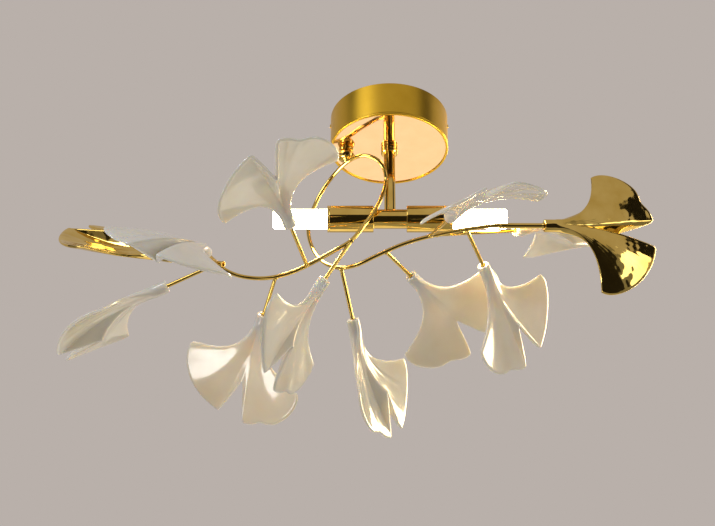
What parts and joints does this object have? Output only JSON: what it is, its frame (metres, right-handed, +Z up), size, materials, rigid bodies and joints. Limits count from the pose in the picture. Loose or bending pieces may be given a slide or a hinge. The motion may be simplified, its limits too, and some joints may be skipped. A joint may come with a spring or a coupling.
{
  "type": "ceiling light",
  "caption": "Semi-flush ceiling light: round canopy, short stem, two-bulb lamp bar and a looping rod branch with ginkgo leaves that turn on their twigs.",
  "frame": {"origin": "on the ceiling face, on the axis of the stem", "axes": "+Z up into the ceiling, +X along the lamp bar, the front of the light faces -Y"},
  "size_m": [0.5936, 0.3233, 0.3331],
  "materials": {
    "satin_gold": "satin lacquered gold",
    "polished_gold": "mirror polished pale gold",
    "plated_gold": "bright gold plating",
    "leaf_gold": "mirror gold plating on the leaf",
    "porcelain": "glossy off-white glaze",
    "frosted_glass": "frosted",
    "led_stick": "yellow phosphor",
    "white_ceramic": "plain",
    "white_plastic": "plain",
    "wire_cover": "plain insulation",
    "zinc_steel": "zinc plated",
    "raw_brass": "plain"
  },
  "bodies": {
    "fixture": {"ceiling_bracket": "zinc_steel", "canopy_shell": "satin_gold", "canopy_plate": "polished_gold", "side_screws": "satin_gold", "terminal_block": "white_plastic", "earth_screw": "raw_brass", "stem": "plated_gold", "stem_collar": "plated_gold", "stem_washer": "zinc_steel", "stem_nut": "zinc_steel", "lamp_bar": "plated_gold", "cup_left": "plated_gold", "cup_right": "plated_gold", "holder_left": "white_ceramic", "holder_right": "white_ceramic", "wire_left": "wire_cover", "wire_right": "wire_cover", "branch": "plated_gold", "branch_post": "plated_gold", "socket_left": "plated_gold", "socket_right": "plated_gold", "swivel_sleeves": "zinc_steel", "twig_1": "plated_gold", "twig_2": "plated_gold", "twig_3": "plated_gold", "twig_4": "plated_gold", "twig_5": "plated_gold", "twig_6": "plated_gold", "twig_7": "plated_gold", "twig_8": "plated_gold", "twig_9": "plated_gold", "twig_10": "plated_gold", "twig_11": "plated_gold", "twig_12": "plated_gold"},
    "bulb_left": {"bulb_left": "frosted_glass", "bulb_base_left": "white_ceramic", "bulb_core_left": "led_stick", "bulb_pins_left": "zinc_steel"},
    "bulb_right": {"bulb_right": "frosted_glass", "bulb_base_right": "white_ceramic", "bulb_core_right": "led_stick", "bulb_pins_right": "zinc_steel"},
    "leaf_1": {"leaf_1": "porcelain"},
    "leaf_2": {"leaf_2": "porcelain"},
    "leaf_3": {"leaf_3": "leaf_gold"},
    "leaf_4": {"leaf_4": "porcelain"},
    "leaf_5": {"leaf_5": "porcelain"},
    "leaf_6": {"leaf_6": "porcelain"},
    "leaf_7": {"leaf_7": "porcelain"},
    "leaf_8": {"leaf_8": "porcelain"},
    "leaf_9": {"leaf_9": "porcelain"},
    "leaf_10": {"leaf_10": "porcelain"},
    "leaf_11": {"leaf_11": "porcelain"},
    "leaf_12": {"leaf_12": "leaf_gold"}
  },
  "joints": [
    {"name": "bulb_left_pull", "type": "slide", "parent": "fixture", "child": "bulb_left", "axis": [-1, 0, 0], "range_m": [0, 0.025]},
    {"name": "bulb_right_pull", "type": "slide", "parent": "fixture", "child": "bulb_right", "axis": [1, 0, 0], "range_m": [0, 0.025]},
    {"name": "leaf_1_turn", "type": "hinge", "parent": "fixture", "child": "leaf_1", "pos_m": [-0.09614, -0.08152, -0.18866], "axis": [-0.2556, -0.954, 0.1564], "range_deg": [-30, 30]},
    {"name": "leaf_2_turn", "type": "hinge", "parent": "fixture", "child": "leaf_2", "pos_m": [0.05533, -0.07793, -0.17707], "axis": [0.2998, -0.9228, -0.2419], "range_deg": [-30, 30]},
    {"name": "leaf_3_turn", "type": "hinge", "parent": "fixture", "child": "leaf_3", "pos_m": [0.15031, -0.02593, -0.15092], "axis": [0.9823, 0.1556, 0.1045], "range_deg": [-10, 30]},
    {"name": "leaf_4_turn", "type": "hinge", "parent": "fixture", "child": "leaf_4", "pos_m": [0.12619, 0.02288, -0.12338], "axis": [0.7948, 0.4775, 0.3746], "range_deg": [-15, 30]},
    {"name": "leaf_5_turn", "type": "hinge", "parent": "fixture", "child": "leaf_5", "pos_m": [0.09143, 0.00916, -0.17386], "axis": [0.3918, 0.8403, -0.3746], "range_deg": [-5, 30]},
    {"name": "leaf_6_turn", "type": "hinge", "parent": "fixture", "child": "leaf_6", "pos_m": [0.01956, 0.01024, -0.18576], "axis": [0.6156, 0.7602, -0.2079], "range_deg": [-35, 0]},
    {"name": "leaf_7_turn", "type": "hinge", "parent": "fixture", "child": "leaf_7", "pos_m": [-0.0374, 0.02925, -0.22406], "axis": [0.2147, 0.6607, -0.7193], "range_deg": [-40, 5]},
    {"name": "leaf_8_turn", "type": "hinge", "parent": "fixture", "child": "leaf_8", "pos_m": [-0.06452, -0.02127, -0.21157], "axis": [-0.51, 0.0717, -0.8572], "range_deg": [-25, 30]},
    {"name": "leaf_9_turn", "type": "hinge", "parent": "fixture", "child": "leaf_9", "pos_m": [-0.12358, 0.00775, -0.23213], "axis": [-0.2875, 0.8348, -0.4695], "range_deg": [-30, 30]},
    {"name": "leaf_10_turn", "type": "hinge", "parent": "fixture", "child": "leaf_10", "pos_m": [-0.21532, -0.02295, -0.21913], "axis": [-0.9118, 0.2273, -0.342], "range_deg": [-30, 30]},
    {"name": "leaf_11_turn", "type": "hinge", "parent": "fixture", "child": "leaf_11", "pos_m": [-0.17523, -0.07465, -0.2151], "axis": [-0.2139, -0.9267, -0.309], "range_deg": [-30, 30]},
    {"name": "leaf_12_turn", "type": "hinge", "parent": "fixture", "child": "leaf_12", "pos_m": [-0.2138, -0.01217, -0.17782], "axis": [-0.8211, 0.4005, 0.4067], "range_deg": [-30, 30]}
  ]
}
